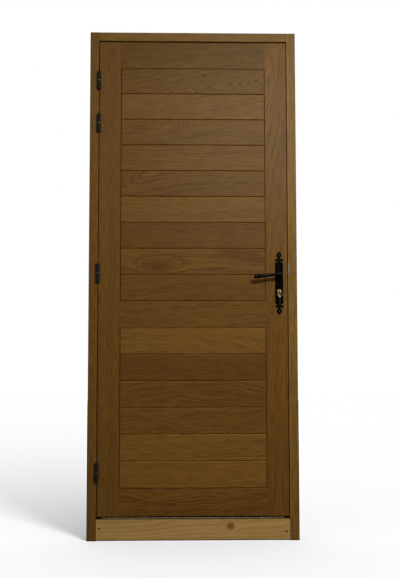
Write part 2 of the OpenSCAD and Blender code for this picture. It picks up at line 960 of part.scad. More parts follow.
module lock_case() {
    color(steel)
        difference() {
            box([case_x, -case_t / 2, case_z], [forend_x, case_t / 2, case_z + case_h]);
            box(
                [case_x + case_wall, -case_t / 2 + case_wall, case_z + case_wall],
                [forend_x + over, case_t / 2 - case_wall, case_z + case_h - case_wall]
            );
            translate([lock_x, 0, lever_z])
                rod_y(journal_r + journal_play, case_t + 2 * over);
            translate([lock_x, 0, cylinder_z])
                along_y(case_t + 2 * over) euro_profile(cylinder_play);
        }
}

module lock_forend() {
    color(steel)
        difference() {
            box([forend_x, -forend_w / 2, forend_z], [leaf_x, forend_w / 2, forend_z + forend_h]);
            box(
                [forend_x - over, -latch_t / 2 - bolt_play, latch_z - latch_h / 2 - bolt_play],
                [leaf_x + over, latch_t / 2 + bolt_play, latch_z + latch_h / 2 + bolt_play]
            );
            box(
                [forend_x - over, -deadbolt_t / 2 - bolt_play, deadbolt_z - deadbolt_h / 2 - bolt_play],
                [leaf_x + over, deadbolt_t / 2 + bolt_play, deadbolt_z + deadbolt_h / 2 + bolt_play]
            );
            forend_screw_places() flush_hole(screw_l);
            cylinder_screw_place() flush_hole(forend_t + over);
        }
}

module lock_screws() {
    color(steel) {
        forend_screw_places() flush_screw(screw_l);
        cylinder_screw_place() flush_screw(backset + shank_r);
    }
}

module latch_bolt() {
    nose_x = leaf_x + latch_out;
    head_x = forend_x - latch_head;
    push_x = lock_x - finger_r - finger_slack;
    slot_half = finger_t / 2 + bolt_play;
    color(steel)
        difference() {
            union() {
                translate([0, 0, latch_z - latch_h / 2])
                    linear_extrude(latch_h)
                        polygon([
                            [head_x, -latch_t / 2], [nose_x, -latch_t / 2],
                            [nose_x, -latch_t / 2 + latch_nose],
                            [leaf_x + over, latch_t / 2], [head_x, latch_t / 2]
                        ]);
                box(
                    [push_x - 2 * finger_r, -latch_t / 2, tail_z],
                    [head_x + over, latch_t / 2, tail_z + latch_tail_h]
                );
            }
            box(
                [push_x, -slot_half, tail_z - over],
                [lock_x + finger_room, slot_half, tail_z + latch_tail_h + over]
            );
        }
}

module deadbolt() {
    color(steel)
        box(
            [lock_x - deadbolt_tail, -deadbolt_t / 2, deadbolt_z - deadbolt_h / 2],
            [leaf_x, deadbolt_t / 2, deadbolt_z + deadbolt_h / 2]
        );
}

// Follower: a hub turned by the spindle, whose finger draws the latch bolt back
module lock_follower() {
    color(steel)
        translate([lock_x, 0, lever_z])
            difference() {
                union() {
                    rod_y(follower_r, hub_l);
                    rod_y(journal_r, journal_l);
                    along_y(finger_t) {
                        translate([-finger_r, 0])
                            square([2 * finger_r, finger_reach]);
                        translate([0, finger_reach])
                            circle(finger_r);
                    }
                }
                spindle_bar(spindle_play, case_t);
            }
}

module spindle_bar(play, length) {
    side = spindle_s + 2 * play;
    cube([side, length + 2 * over, side], center = true);
}

module spindle() {
    color(steel)
        translate([lock_x, 0, lever_z])
            cube([spindle_s, leaf_t + 2 * spindle_out, spindle_s], center = true);
}

// Profile cylinder: body, a plug at each end, and the cam between them
module euro_profile(play) {
    circle(cylinder_r + play);
    translate([-web_r - play, web_z])
        square([web_w + 2 * play, -web_z]);
    translate([0, web_z])
        circle(web_r + play);
}

module cylinder_body() {
    color(brass)
        translate([lock_x, 0, cylinder_z])
            difference() {
                along_y(cylinder_l) euro_profile(0);
                rod_y(plug_r + plug_play, cylinder_l + 2 * over);
                rod_y(cam_r + cam_play, cam_w + 2 * cam_play);
                translate([0, 0, -cylinder_screw_drop])
                    rotate([0, 90, 0])
                        cylinder(h = web_w + 2 * over, r = shank_r + screw_play, center = true);
            }
}

// A plug from the cam's face to the end of the cylinder, with its keyway
module plug(depth) {
    keyway_h = blade_h + 2 * key_play;
    keyway_w = key_t + 2 * key_play;
    end_y = -cylinder_l / 2;
    difference() {
        translate([0, -cam_w / 2, 0])
            rotate([90, 0, 0])
                cylinder(h = (cylinder_l - cam_w) / 2, r = plug_r);
        box(
            [-keyway_w / 2, end_y - over, -keyway_h / 2],
            [keyway_w / 2, end_y + depth, keyway_h / 2]
        );
    }
}

module inside_plug() {
    color(brass)
        translate([lock_x, 0, cylinder_z])
            plug(blade_l + key_play);
}

module outside_plug() {
    color(brass)
        translate([lock_x, 0, cylinder_z])
            mirror([0, 1, 0])
                plug(blade_l + key_play);
}

module cylinder_cam() {
    color(steel)
        translate([lock_x, 0, cylinder_z]) {
            rod_y(cam_hub_r, cam_w);
            along_y(cam_w)
                intersection() {
                    translate([-cam_nose_w / 2, -cam_r])
                        square([cam_nose_w, cam_r]);
                    circle(cam_r);
                }
        }
}

// Plates: straight sides, shoulders, and at each end a stem with two lobes and a round spear with a point
module finial() {
    lobe_z = plate_end + lobe_rise;
    spear_z = plate_end + spear_rise;
    half_w = spear_point_w / 2;
    root_z = sqrt(spear_r * spear_r - half_w * half_w) - over;
    translate([-stem_w / 2, plate_end])
        square([stem_w, spear_rise]);
    translate([-lobe_out, lobe_z - lobe_bar / 2])
        square([2 * lobe_out, lobe_bar]);
    for (side = [-1, 1])
        translate([side * lobe_out, lobe_z])
            circle(lobe_r);
    translate([0, spear_z]) {
        circle(spear_r);
        polygon([[-half_w, root_z], [half_w, root_z], [0, spear_point]]);
    }
}

module plate_outline() {
    half_w = plate_w / 2;
    peak_w = stem_w / 2 + over;
    peak_z = plate_end + shoulder_h;
    polygon([
        [half_w, -plate_end], [half_w, plate_end], [peak_w, peak_z], [-peak_w, peak_z],
        [-half_w, plate_end], [-half_w, -plate_end], [-peak_w, -peak_z], [peak_w, -peak_z]
    ]);
    finial();
    mirror([0, 1]) finial();
}

module plate() {
    difference() {
        translate([lock_x, front_y - plate_t / 2, plate_z])
            along_y(plate_t) plate_outline();
        translate([lock_x, front_y, lever_z])
            rod_y(neck_r + neck_play, 2 * (plate_t + over));
        translate([lock_x, front_y, cylinder_z])
            along_y(2 * (plate_t + over)) euro_profile(cylinder_play);
        inside_screw_places()
            translate([0, 0, -over])
                cylinder(h = plate_t + 2 * over, r = shank_r + screw_play);
    }
}

module inside_screw_places() {
    for (end = [-1, 1])
        translate([lock_x, front_y - plate_t, plate_z + end * plate_screw_z])
            rotate([-90, 0, 0])
                children();
}

module plate_screw_places() {
    for (face = [0, 1])
        mirror([0, face, 0])
            inside_screw_places() children();
}

module inside_plate() {
    color(iron)
        plate();
}

module outside_plate() {
    color(iron)
        mirror([0, 1, 0]) plate();
}

module plate_screws() {
    color(steel)
        plate_screw_places() domed_screw(plate_screw_l);
}

// Levers: a round neck through the plate, and a forged bar with a narrow waist and a broad round end
module rounded_disc(r, t, x) {
    for (turn = [0, 30, 60, 90])
        translate([x, 0, 0])
            rod_y(r - lever_edge * (1 - sin(turn)), t - 2 * lever_edge * (1 - cos(turn)), $fn = 32);
}

module lever() {
    neck_end = front_y - lever_out;
    difference() {
        translate([lock_x, 0, lever_z]) {
            translate([0, front_y, 0])
                rotate([90, 0, 0])
                    cylinder(h = lever_out, r = neck_r);
            translate([0, neck_end, 0])
                rotate([0, -lever_droop, 0])
                    difference() {
                        union() {
                            hull() {
                                rounded_disc(elbow_r, elbow_t, 0);
                                rounded_disc(lever_waist_r, lever_waist_t, -lever_waist);
                            }
                            hull() {
                                rounded_disc(lever_waist_r, lever_waist_t, -lever_waist + lever_waist_r);
                                rounded_disc(lever_end_r, lever_t, -lever_l);
                            }
                        }
                        for (g = groove_in)
                            translate([g - lever_l, -lever_t / 2, 0])
                                cube([groove_w, 2 * groove_d, 2 * (lever_end_r + over)], center = true);
                    }
        }
        translate([lock_x, 0, lever_z])
            spindle_bar(spindle_play, leaf_t + 2 * spindle_out);
    }
}

module inside_lever() {
    color(iron)
        lever();
}

module outside_lever() {
    color(iron)
        mirror([0, 1, 0]) lever();
}

// Key in the inside plug, with a split ring and a spare key hanging from its bow
module key() {
    color(steel)
        translate([lock_x, 0, cylinder_z])
            along_x(key_t)
                difference() {
                    union() {
                        translate([bow_y, -blade_h / 2])
                            square([key_y + blade_l - bow_y, blade_h]);
                        translate([bow_y, 0])
                            circle(bow_r);
                    }
                    translate([bow_hole_y, 0])
                        circle(bow_hole_r);
                }
}

module key_ring() {
    color(steel)
        translate([lock_x, bow_hole_y, split_ring_z])
            rotate([90, 0, 0])
                rotate_extrude()
                    translate([split_ring_r, 0])
                        circle(wire_r, $fn = 32);
}

module spare_key() {
    color(steel)
        translate([lock_x, bow_hole_y, 0])
            along_x(key_t)
                difference() {
                    union() {
                        translate([0, spare_bow_z])
                            circle(spare_bow_r);
                        translate([-blade_h / 2, spare_bow_z - spare_bow_r - spare_blade_l])
                            square([blade_h, spare_blade_l + spare_bow_r]);
                    }
                    translate([0, spare_hole_z])
                        circle(bow_hole_r);
                }
}

hinge_jamb();
strike_jamb();
frame_head();
foot_batten();
batten_screws();
frame_seal();
strike_plate();
strike_screws();
hinge_pins();
hinge_rings();
hinge_frame_screws();
hinge_leaf_screws();
for (i = [1 : len(hinge_z)]) {
    hinge_frame_half(i);
    hinge_leaf_half(i);
}
hinge_stile();
lock_stile();
bottom_rail();
mid_rail();
top_rail();
for (i = [1 : upper_boards])
    upper_board(i);
for (i = [1 : lower_boards])
    lower_board(i);
bottom_brush();
lock_case();
lock_forend();
lock_screws();
latch_bolt();
deadbolt();
lock_follower();
spindle();
cylinder_body();
inside_plug();
outside_plug();
cylinder_cam();
inside_plate();
outside_plate();
plate_screws();
inside_lever();
outside_lever();
key();
key_ring();
spare_key();
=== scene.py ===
import math
import random

import bmesh
import bpy
from mathutils import Matrix, Vector


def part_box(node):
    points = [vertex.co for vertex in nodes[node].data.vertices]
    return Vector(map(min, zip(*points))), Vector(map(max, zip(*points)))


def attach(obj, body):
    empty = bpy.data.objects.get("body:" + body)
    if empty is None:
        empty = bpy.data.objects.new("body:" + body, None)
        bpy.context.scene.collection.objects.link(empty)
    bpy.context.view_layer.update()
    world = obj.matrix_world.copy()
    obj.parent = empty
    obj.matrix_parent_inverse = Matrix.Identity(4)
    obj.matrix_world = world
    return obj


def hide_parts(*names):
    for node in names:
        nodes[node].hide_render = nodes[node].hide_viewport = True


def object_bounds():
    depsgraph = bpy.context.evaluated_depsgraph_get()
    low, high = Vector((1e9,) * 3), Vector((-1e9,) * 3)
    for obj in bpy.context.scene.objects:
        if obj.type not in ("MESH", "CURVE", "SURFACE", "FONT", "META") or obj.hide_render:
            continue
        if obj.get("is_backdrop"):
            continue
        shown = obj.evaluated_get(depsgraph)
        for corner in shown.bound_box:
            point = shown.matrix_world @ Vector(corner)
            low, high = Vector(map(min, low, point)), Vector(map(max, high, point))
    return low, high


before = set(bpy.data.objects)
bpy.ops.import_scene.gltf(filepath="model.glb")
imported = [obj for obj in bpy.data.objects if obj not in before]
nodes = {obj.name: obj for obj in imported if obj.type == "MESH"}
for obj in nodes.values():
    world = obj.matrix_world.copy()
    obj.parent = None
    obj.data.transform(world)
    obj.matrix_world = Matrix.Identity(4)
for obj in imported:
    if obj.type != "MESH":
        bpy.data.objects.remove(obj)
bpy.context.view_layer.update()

# Hinge jamb: a rebated length of oak, planed and oiled, that runs the full height of the frame.
# Its grain runs upright, and its arrises are eased with a plane.


def add(tree, kind, inputs=None, **settings):
    """A node of that kind with its settings, its inputs given as values or as sockets to link."""
    made = tree.nodes.new(kind)
    for key, value in settings.items():
        setattr(made, key, value)
    for key, value in (inputs or {}).items():
        if isinstance(value, bpy.types.NodeSocket):
            tree.links.new(value, made.inputs[key])
        else:
            made.inputs[key].default_value = value
    return made


def math_node(tree, operation, first, second=0.0, third=0.0):
    """The result of a math node."""
    return add(tree, "ShaderNodeMath", {0: first, 1: second, 2: third}, operation=operation).outputs[0]


def vector_node(tree, operation, first, second):
    """The vector from a vector math node."""
    return add(tree, "ShaderNodeVectorMath", {0: first, 1: second}, operation=operation).outputs[0]


def vector_of(tree, first, second, third):
    """A vector put together from its three parts."""
    return add(tree, "ShaderNodeCombineXYZ", {0: first, 1: second, 2: third}).outputs[0]


def parts_of(tree, vector):
    """The three parts of a vector."""
    return add(tree, "ShaderNodeSeparateXYZ", {0: vector}).outputs


def scaled_noise(tree, point, scale, detail):
    """Noise from about -1 to 1, its scale given as waves for each metre along each axis."""
    stretched = vector_node(tree, "MULTIPLY", point, scale)
    noise = add(tree, "ShaderNodeTexNoise", {"Vector": stretched, "Scale": 1.0, "Detail": detail})
    return math_node(tree, "MULTIPLY_ADD", noise.outputs[0], 4.0, -2.0)


def blended(tree, factor, first, second):
    """A colour between two others."""
    return add(tree, "ShaderNodeMix", {0: factor, 6: first, 7: second}, data_type="RGBA").outputs[2]


def brightened(tree, value, colour):
    """A colour made lighter or darker by a factor."""
    return add(tree, "ShaderNodeHueSaturation", {"Value": value, "Color": colour}).outputs[0]


def ramp(tree, value, low, high):
    """A value turned smoothly from 0 at low to 1 at high."""
    return add(
        tree, "ShaderNodeMapRange", {"Value": value, "From Min": low, "From Max": high},
        interpolation_type="SMOOTHSTEP",
    ).outputs[0]


def new_group(name, inputs, outputs):
    """A shader node group with named sockets, its input sockets and its output node."""
    tree = bpy.data.node_groups.new(name, "ShaderNodeTree")
    for label, kind in inputs.items():
        tree.interface.new_socket(label, in_out="INPUT", socket_type="NodeSocket" + kind)
    for label, kind in outputs.items():
        tree.interface.new_socket(label, in_out="OUTPUT", socket_type="NodeSocket" + kind)
    return tree, tree.nodes.new("NodeGroupInput").outputs, tree.nodes.new("NodeGroupOutput")


def new_material(name):
    """A material with its node tree and the input sockets of its shader."""
    made = bpy.data.materials.new(name)
    made.use_nodes = True
    return made, made.node_tree, made.node_tree.nodes["Principled BSDF"].inputs


def link_surface(tree, sockets, colour, surface, strength, distance):
    """Links a colour, and a group's roughness and height, to a shader, with the bump's strength and depth."""
    bump = add(tree, "ShaderNodeBump", {
        "Height": surface["Height"], "Strength": strength, "Distance": distance,
    })
    tree.links.new(colour, sockets["Base Color"])
    tree.links.new(surface["Roughness"], sockets["Roughness"])
    tree.links.new(bump.outputs[0], sockets["Normal"])


# Growth rings are cylinders round a pith that lies beside or behind the timber, so that a plane cut
# through them shows straight lines or arches. A knot pushes the rings aside or lifts them into an eye.
# Dark open pores lie in the early part of each ring.
timber, given, result = new_group(
    "Sawn timber",
    {"Point": "Vector", "Seed": "Float", "Pith Across": "Float", "Pith Depth": "Float", "Run": "Float",
     "Wander": "Float", "Ring Width": "Float", "Contrast": "Float", "Roughness": "Float",
     "Light Wood": "Color", "Dark Wood": "Color", "Knot Place": "Vector", "Knot Size": "Vector",
     "Knot Push": "Float", "Knot Lift": "Float"},
    {"Color": "Color", "Roughness": "Float", "Height": "Float", "Knot": "Float"},
)
shift = vector_of(
    timber, given["Seed"], math_node(timber, "MULTIPLY", given["Seed"], 1.7),
    math_node(timber, "MULTIPLY", given["Seed"], 2.3),
)
seeded = vector_node(timber, "ADD", given["Point"], shift)
from_knot = vector_node(timber, "SUBTRACT", given["Point"], given["Knot Place"])
knot_span = add(
    timber, "ShaderNodeVectorMath", {0: vector_node(timber, "DIVIDE", from_knot, given["Knot Size"])},
    operation="LENGTH",
).outputs["Value"]
knot_span = math_node(timber, "MULTIPLY", knot_span, knot_span)
knot = math_node(timber, "EXPONENT", math_node(timber, "MULTIPLY", knot_span, -1.0))
knot_reach = math_node(timber, "EXPONENT", math_node(timber, "MULTIPLY", knot_span, -0.22))
push = math_node(timber, "MULTIPLY", parts_of(timber, from_knot)[1], knot_reach)
push = math_node(timber, "MULTIPLY", push, given["Knot Push"])
sway = scaled_noise(timber, seeded, (2.2, 9.0, 9.0), 2.0)
lift = scaled_noise(timber, seeded, (3.1, 5.0, 5.0), 2.0)
place = parts_of(timber, given["Point"])
across = math_node(timber, "SUBTRACT", place[1], given["Pith Across"])
across = math_node(timber, "MULTIPLY_ADD", sway, given["Wander"], across)
across = math_node(timber, "SUBTRACT", across, push)
depth = math_node(timber, "SUBTRACT", place[2], given["Pith Depth"])
for moved, amount in ((place[0], "Run"), (lift, "Wander"), (knot, "Knot Lift")):
    depth = math_node(timber, "MULTIPLY_ADD", moved, given[amount], depth)
radius = math_node(timber, "SQRT", math_node(
    timber, "MULTIPLY_ADD", across, across, math_node(timber, "MULTIPLY", depth, depth)))
ring = math_node(timber, "DIVIDE", radius, given["Ring Width"])
ring = math_node(timber, "MULTIPLY_ADD", scaled_noise(timber, seeded, (9.0, 60.0, 60.0), 2.0), 0.12, ring)
in_ring = math_node(timber, "FRACT", ring)
early = math_node(timber, "SUBTRACT", 1.0, ramp(timber, in_ring, 0.05, 0.6))
early = math_node(timber, "MAXIMUM", early, ramp(timber, in_ring, 0.86, 1.0))
years = math_node(timber, "MULTIPLY_ADD", scaled_noise(timber, seeded, (0.8, 0.8, 0.8), 1.0), 0.1, ring)
pair_of_years = math_node(timber, "FLOOR", math_node(timber, "MULTIPLY", years, 0.5))
year = add(timber, "ShaderNodeTexWhiteNoise", {"W": pair_of_years}, noise_dimensions="1D").outputs[0]
fibre = scaled_noise(timber, seeded, (17.0, 340.0, 340.0), 4.0)
streak = scaled_noise(timber, seeded, (1.6, 95.0, 95.0), 3.0)
patch = scaled_noise(timber, seeded, (1.6, 11.0, 11.0), 2.0)
pore = ramp(timber, scaled_noise(timber, seeded, (42.0, 1500.0, 1500.0), 1.0), 0.35, 0.95)
pore = math_node(timber, "MULTIPLY", pore, math_node(timber, "MULTIPLY_ADD", early, 0.75, 0.25))
shade = 0.58
for mark, weight in ((early, -0.5), (year, 0.35), (fibre, 0.70), (streak, 0.09), (patch, 0.12)):
    shade = math_node(timber, "MULTIPLY_ADD", mark, weight, shade)
shade = math_node(timber, "SUBTRACT", shade, 0.5)
shade = math_node(timber, "MULTIPLY_ADD", shade, given["Contrast"], 0.5)
wood = blended(timber, shade, given["Dark Wood"], given["Light Wood"])
wood = brightened(timber, math_node(timber, "MULTIPLY_ADD", pore, -0.45, 1.0), wood)
roughness = math_node(timber, "MULTIPLY_ADD", pore, 0.25, given["Roughness"])
height = math_node(timber, "MULTIPLY_ADD", fibre, 0.25, math_node(timber, "MULTIPLY", pore, -1.0))
for label, socket in {"Color": wood, "Roughness": roughness, "Height": height, "Knot": knot}.items():
    timber.links.new(socket, result.inputs[label])

# The axes that run along, across and into a piece of wood.
upright, level = "ZXY", "XZY"
oak_light, oak_dark = (0.166, 0.076, 0.0128), (0.091, 0.0375, 0.0060)


def wood_material(name, order, centre, seed, tone, yellow, pith, run=0.0, wander=0.006, ring=0.0035,
                  contrast=1.0, light=oak_light, dark=oak_dark, knot=None, painted_arris_light=False, roughness=0.35,
                  bend=(0.0, 0.0)):
    """Planed wood, with its pith at a place across it and behind it.

    Tone makes it lighter, and yellow turns its colour from red to yellow. Run tilts the pith along the
    wood. Bend is how much the grain rises along the wood, and how much that rise grows for each metre.
    A knot is its place along and across, its length and height, its push, its lift, the colour of its
    heart and how much of that colour it has. The last flag paints light onto eased edges: a painted
    highlight where an edge faces up and painted shade where it faces down.
    """
    made, tree, sockets = new_material(name)
    coordinates = add(tree, "ShaderNodeTexCoord").outputs
    split = parts_of(tree, vector_node(tree, "SUBTRACT", coordinates["Object"], centre))
    along, over, into = (split["XYZ".index(axis)] for axis in order)
    slope, bow = bend
    rise = math_node(tree, "MULTIPLY_ADD", along, -0.5 * bow, -slope)
    over = math_node(tree, "MULTIPLY_ADD", along, rise, over)
    tint = (tone, tone * (1 + 0.10 * yellow), tone * (1 + 0.25 * yellow))
    no_knot = (5.0, 0.0, 0.0)
    grain = add(tree, "ShaderNodeGroup", {
        "Point": vector_of(tree, along, over, into), "Seed": seed, "Pith Across": pith[0],
        "Pith Depth": pith[1], "Run": run, "Wander": wander, "Ring Width": ring, "Contrast": contrast,
        "Roughness": roughness,
        "Light Wood": (*(part * share for part, share in zip(light, tint)), 1.0),
        "Dark Wood": (*(part * share for part, share in zip(dark, tint)), 1.0),
        "Knot Place": no_knot, "Knot Size": (1.0, 1.0, 1.0),
    }, node_tree=timber)
    colour = grain.outputs["Color"]
    if knot:
        (knot_along, knot_over), (length, height), push, lift, heart, strength = knot
        knot_along -= centre["XYZ".index(order[0])]
        knot_over -= centre["XYZ".index(order[1])]
        knot_over -= knot_along * (slope + 0.5 * bow * knot_along)
        grain.inputs["Knot Place"].default_value = (knot_along, knot_over, 0.0)
        grain.inputs["Knot Size"].default_value = (length, height, 1.0)
        grain.inputs["Knot Push"].default_value = push
        grain.inputs["Knot Lift"].default_value = lift
        inmost = tuple(0.6 * part for part in heart)
        for stain, low, high in ((heart, 0.05, 0.70), (inmost, 0.80, 0.99)):
            near = math_node(tree, "MULTIPLY", ramp(tree, grain.outputs["Knot"], low, high), strength)
            colour = blended(tree, near, colour, (*stain, 1.0))
    # Painted light on eased edges: a painted highlight where the surface faces up and painted shade where it
    # faces down.
    if painted_arris_light:
        upward = parts_of(tree, coordinates["Normal"])[2]
        downward = math_node(tree, "MULTIPLY", upward, -1.0)
        paler = math_node(tree, "MULTIPLY_ADD", ramp(tree, upward, 0.2, 0.6), 0.9, 1.0)
        darker = math_node(tree, "MULTIPLY", ramp(tree, downward, 0.2, 0.6), 0.5)
        colour = brightened(tree, math_node(tree, "SUBTRACT", paler, darker), colour)
    sockets["Specular IOR Level"].default_value = 0.04
    link_surface(tree, sockets, colour, grain.outputs, strength=0.25, distance=0.0006)
    return made


def dress(name, material, ease=0.0):
    """Gives a CAD node its material, and eases its sharp edges by that many metres."""
    node = nodes[name]
    node.data.materials.clear()
    node.data.materials.append(material)
    if ease:
        weld = node.modifiers.new("weld", "WELD")
        weld.merge_threshold = 0.00001
        joined = node.modifiers.new("whole faces", "DECIMATE")
        joined.decimate_type = "DISSOLVE"
        joined.angle_limit = math.radians(0.5)
        bevel = node.modifiers.new("ease", "BEVEL")
        bevel.width = ease
        bevel.segments = 2
        bevel.limit_method = "ANGLE"
        bevel.angle_limit = math.radians(30)
        split = node.modifiers.new("crisp", "EDGE_SPLIT")
        split.split_angle = math.radians(20)


def middle(name):
    """The middle of a CAD node's box."""
    low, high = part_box(name)
    return (low + high) / 2


hinge_jamb_oak = wood_material(
    "oak hinge jamb", upright, middle("hinge_jamb"), seed=1.3, tone=1.04, yellow=0.5, pith=(0.30, 0.05))
dress("hinge_jamb", hinge_jamb_oak, ease=0.0015)

# Strike jamb: the same rebated section turned over, planed from a paler and straighter length of oak.
# The strike plate is let into it.
strike_jamb_oak = wood_material(
    "oak strike jamb", upright, middle("strike_jamb"), seed=4.1, tone=1.34, yellow=1.6, pith=(-0.22, 0.12))
dress("strike_jamb", strike_jamb_oak, ease=0.0015)

# Head: a rebated length of oak across the top of the frame, tenoned between the jambs.
# Its grain runs level.
head_oak = wood_material(
    "oak head", level, middle("frame_head"), seed=7.7, tone=1.22, yellow=1.6, pith=(0.18, 0.10))
dress("frame_head", head_oak, ease=0.0012)

# Stiles: full-height oak on each side of the leaf, grooved for the boards and mortised for the rails.
# The grain of the lock stile leans.
hinge_stile_oak = wood_material(
    "oak hinge stile", upright, middle("hinge_stile"), seed=11.9, tone=0.98, yellow=0.0, pith=(0.16, 0.10),
    run=0.004, wander=0.008)
dress("hinge_stile", hinge_stile_oak, ease=0.0012)
lock_stile_oak = wood_material(
    "oak lock stile", upright, middle("lock_stile"), seed=15.2, tone=0.98, yellow=-0.1, pith=(-0.17, 0.08),
    run=-0.006, wander=0.008, bend=(0.12, 0.12))
dress("lock_stile", lock_stile_oak, ease=0.0012)

# Rails: three lengths of oak between the stiles, at the top, the middle and the foot of the leaf.
# They are tenoned into the stiles and flush with their faces.
# Each has its seed, tone, yellow, pith, run, ring width and bend.
rails = {
    "top_rail": (21.4, 0.81, 0.4, (0.15, 0.09), 0.02, 0.0035, (0.10, 0.20)),
    "mid_rail": (24.8, 0.92, 0.0, (0.20, 0.06), 0.01, 0.0035, (0.07, 0.00)),
    "bottom_rail": (28.3, 0.96, 0.0, (0.09, 0.16), 0.04, 0.0055, (0.10, 0.25)),
}
for name, (seed, tone, yellow, pith, run, ring, bend) in rails.items():
    oak = wood_material(
        "oak " + name, level, middle(name), seed, tone, yellow, pith, run, wander=0.012, ring=ring, bend=bend)
    dress(name, oak, ease=0.0010)

# Boards: tongued and grooved oak laid level between the stiles, each cut from another place in the log.
# A few have a pin knot, upper board 3 a row of arches, and upper board 8 an eye where a branch lay below.
# Each has its seed, tone, yellow, pith, run, wander, contrast and bend.
boards = {
    "upper_board_1": (31.0, 0.87, 0.3, (-0.05, 0.05), 0.07, 0.010, 1.0, (0.12, 0.30)),
    "upper_board_2": (34.1, 1.08, 0.5, (0.16, 0.05), 0.01, 0.010, 1.0, (0.25, -0.45)),
    "upper_board_3": (37.2, 0.90, 0.4, (0.035, 0.04), -0.12, 0.010, 1.0, (0.10, 0.00)),
    "upper_board_4": (40.3, 0.96, 0.3, (0.14, 0.07), 0.01, 0.010, 1.0, (0.00, 0.00)),
    "upper_board_5": (43.4, 0.86, 0.3, (0.05, 0.09), 0.03, 0.010, 1.0, (0.16, -0.15)),
    "upper_board_6": (46.5, 1.07, 0.7, (0.24, 0.05), 0.0, 0.010, 1.0, (0.02, 0.30)),
    "upper_board_7": (49.6, 0.82, 0.0, (0.19, 0.05), 0.01, 0.010, 1.0, (0.00, -0.40)),
    "upper_board_8": (52.7, 0.93, 0.0, (0.02, 0.60), 0.004, 0.0010, 1.1, (0.00, 0.00)),
    "upper_board_9": (55.8, 0.87, 0.2, (-0.16, 0.08), 0.01, 0.010, 0.8, (0.05, -0.50)),
    "lower_board_1": (58.9, 1.17, 0.7, (0.20, 0.04), 0.0, 0.010, 1.0, (-0.15, -1.00)),
    "lower_board_2": (61.1, 0.81, 0.0, (-0.20, 0.06), 0.01, 0.010, 0.9, (-0.02, -0.40)),
    "lower_board_3": (64.2, 0.92, 0.2, (0.14, 0.08), 0.01, 0.010, 1.0, (0.00, -0.80)),
    "lower_board_4": (67.3, 0.98, 0.4, (0.09, 0.10), 0.02, 0.010, 1.0, (0.10, 0.45)),
    "lower_board_5": (70.4, 1.21, 0.8, (-0.17, 0.06), 0.01, 0.008, 0.9, (0.03, 0.00)),
    "lower_board_6": (73.5, 1.25, 0.6, (-0.15, 0.08), 0.01, 0.008, 0.9, (-0.08, -0.10)),
}
pin_brown = (0.040, 0.016, 0.003)
knots = {
    "upper_board_1": ((0.047, 1.964), (0.009, 0.003), 0.9, 0.0, (0.030, 0.012, 0.003), 0.9),
    "upper_board_6": ((-0.036, 1.425), (0.005, 0.003), 0.3, 0.0, pin_brown, 0.8),
    "upper_board_8": ((-0.145, 1.141), (0.074, 0.028), 0.0, 0.0155, (0.070, 0.029, 0.004), 0.45),
    "lower_board_5": ((0.147, 0.411), (0.006, 0.003), 0.3, 0.0, pin_brown, 0.8),
}
# Every board gets painted light on its eased edges: painted highlights facing up, painted shade facing down.
for name, (seed, tone, yellow, pith, run, wander, contrast, bend) in boards.items():
    oak = wood_material(
        "oak " + name, level, middle(name), seed, tone, yellow, pith, run, wander, contrast=contrast,
        knot=knots.get(name), painted_arris_light=True, bend=bend)
    dress(name, oak, ease=0.0003)

# Foot batten: a length of planed pine, fixed across the foot of the frame with two dark steel screws.
# Its rings are wide and soft, and they bend round one brown knot.
batten_knot = ((0.154, 0.0595), (0.017, 0.016), 1.5, 0.0, (0.21, 0.086, 0.025), 0.9)
pine = wood_material(
    "pine batten", level, middle("foot_batten"), seed=80.6, tone=1.0, yellow=0.0, pith=(0.07, 0.08),
    run=-0.03, ring=0.010, contrast=0.75, light=(0.43, 0.262, 0.086), dark=(0.32, 0.178, 0.049),
    knot=batten_knot, roughness=0.75)
dress("foot_batten", pine, ease=0.0012)

skin_inputs = {"Point": "Vector", "Paint": "Color", "Roughness": "Float"}
skin_outputs = {"Color": "Color", "Roughness": "Float", "Height": "Float"}


def link_skin(tree, given, result, tone, roughness, height):
    """Links a skin's outputs: its paint made lighter by tone, its roughness changed, and its height."""
    tree.links.new(brightened(tree, tone, given["Paint"]), result.inputs["Color"])
    tree.links.new(math_node(tree, "ADD", roughness, given["Roughness"]), result.inputs["Roughness"])
    tree.links.new(height, result.inputs["Height"])


def skin_material(name, group, colour, roughness, metallic=1.0, specular=0.5, strength=0.1, distance=0.0002):
    """A material whose colour, roughness and height come from a group for its kind of skin."""
    made, tree, sockets = new_material(name)
    at = add(tree, "ShaderNodeTexCoord").outputs["Object"]
    skin = add(
        tree, "ShaderNodeGroup", {"Point": at, "Paint": (*colour, 1.0), "Roughness": roughness},
        node_tree=group,
    ).outputs
    sockets["Metallic"].default_value = metallic
    sockets["Specular IOR Level"].default_value = specular
    link_surface(tree, sockets, skin["Color"], skin, strength, distance)
    return made


plated, given, result = new_group("Plated metal", skin_inputs, skin_outputs)
cloud = scaled_noise(plated, given["Point"], (120.0, 120.0, 120.0), 3.0)
brushed = scaled_noise(plated, given["Point"], (2500.0, 2500.0, 90.0), 2.0)
link_skin(
    plated, given, result, math_node(plated, "MULTIPLY_ADD", cloud, 0.12, 1.0),
    math_node(plated, "MULTIPLY", cloud, 0.08), math_node(plated, "MULTIPLY_ADD", brushed, 0.5, cloud))
dark_steel = skin_material("dark steel", plated, (0.05, 0.048, 0.045), roughness=0.5)
dress("batten_screws", dark_steel)

